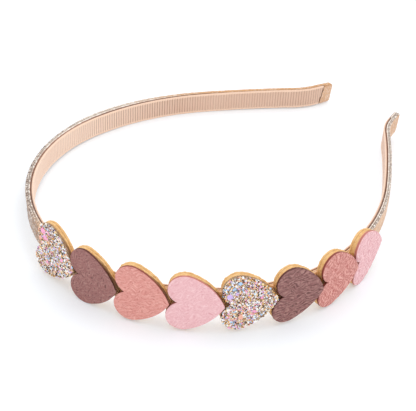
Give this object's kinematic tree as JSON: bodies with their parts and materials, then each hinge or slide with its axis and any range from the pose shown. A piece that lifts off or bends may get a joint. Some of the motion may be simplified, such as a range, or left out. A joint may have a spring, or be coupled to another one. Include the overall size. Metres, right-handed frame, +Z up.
{
  "type": "heart headband",
  "caption": "Narrow open hoop for the hair, wrapped in metallic leatherette and lined with ribbed ribbon, with a nested row of layered leather hearts along one side.",
  "frame": {"origin": "middle of the bounding box, on the surface that the headband lies on", "axes": "+Z up from that surface, +Y from the crown of the hoop towards its open ends, +X towards the side with the hearts"},
  "size_m": [0.123, 0.156, 0.021],
  "materials": {
    "wrap": "rose gold metallic leatherette, fine speckled grain, semi gloss",
    "ribbon": "peach grosgrain ribbon, matte with a slight sheen",
    "tan": "raw tan leather with fibrous cut edges, matte",
    "glitter": "dense mixed glitter flakes, mostly silver and champagne",
    "mauve": "wrinkled mauve leather, satin",
    "rose": "streaky rose leather, satin",
    "blush": "soft pebbled pale pink leather, satin"
  },
  "bodies": {
    "root": {"band_wrap": "wrap", "ribbon_lining": "ribbon", "heart_base_1": "tan", "heart_face_1": "glitter", "heart_base_2": "tan", "heart_face_2": "mauve", "heart_base_3": "tan", "heart_face_3": "rose", "heart_base_4": "tan", "heart_face_4": "blush", "heart_base_5": "tan", "heart_face_5": "glitter", "heart_base_6": "tan", "heart_face_6": "mauve", "heart_base_7": "tan", "heart_face_7": "rose", "heart_base_8": "tan", "heart_face_8": "blush"}
  },
  "joints": []
}
